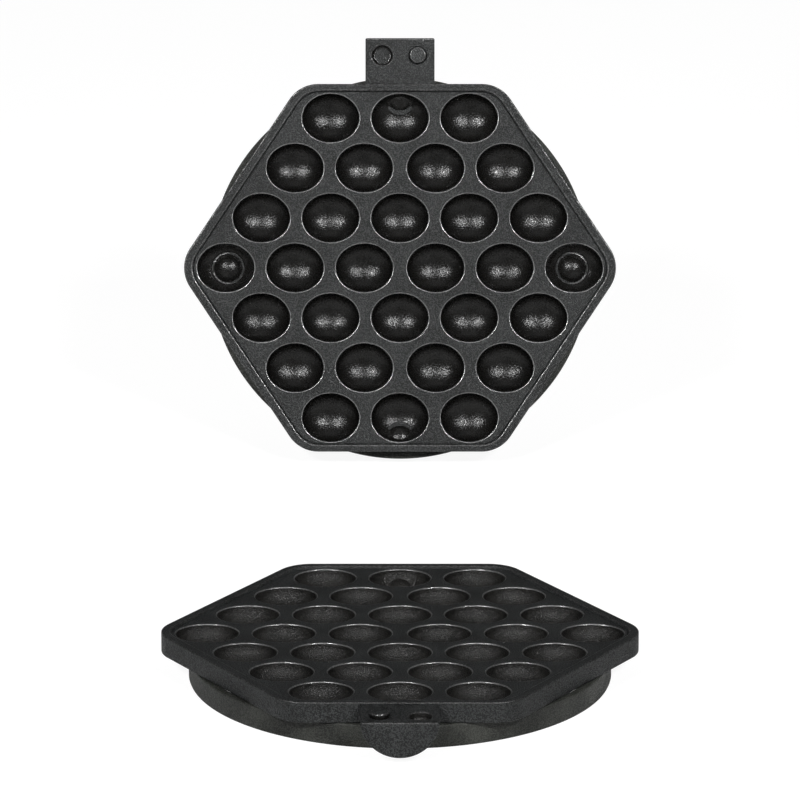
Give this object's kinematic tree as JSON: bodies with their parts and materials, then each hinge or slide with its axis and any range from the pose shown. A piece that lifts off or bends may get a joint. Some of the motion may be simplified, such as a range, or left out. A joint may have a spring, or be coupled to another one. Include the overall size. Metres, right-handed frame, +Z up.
{
  "type": "egg waffle pan",
  "caption": "Pair of equal non-stick cast egg waffle plates with thirty oval cavities each, a round skirt and a half-round pinned lug.",
  "frame": {"origin": "centre of the lower half's round skirt, on the plane that its foot stands on", "axes": "+Z up; -Y towards the lower half's lug; +Y towards the open upper half; +X along the rows of cavities"},
  "size_m": [0.2118, 0.4763, 0.2026],
  "materials": {
    "coated_plate": "matte non-stick coating with fine speckle",
    "coated_skirt": "matte non-stick coating with fine speckle",
    "coated_pin": "steel under the same matte non-stick coating as the casting",
    "steel": "turned steel, darkened by use"
  },
  "bodies": {
    "lower_half": {"lower_plate": "coated_plate", "lower_skirt": "coated_skirt", "lower_pin": "coated_pin", "lower_screw_1": "steel", "lower_screw_2": "steel", "lower_screw_3": "steel", "lower_screw_4": "steel"},
    "upper_half": {"upper_plate": "coated_plate", "upper_skirt": "coated_skirt", "upper_pin": "coated_pin", "upper_screw_1": "steel", "upper_screw_2": "steel", "upper_screw_3": "steel", "upper_screw_4": "steel"}
  },
  "joints": [
    {"name": "close_pan", "type": "hinge", "parent": "lower_half", "child": "upper_half", "pos_m": [0, 0.18407, -0.0566], "axis": [1, 0, 0], "range_deg": [0, 107.7]}
  ]
}
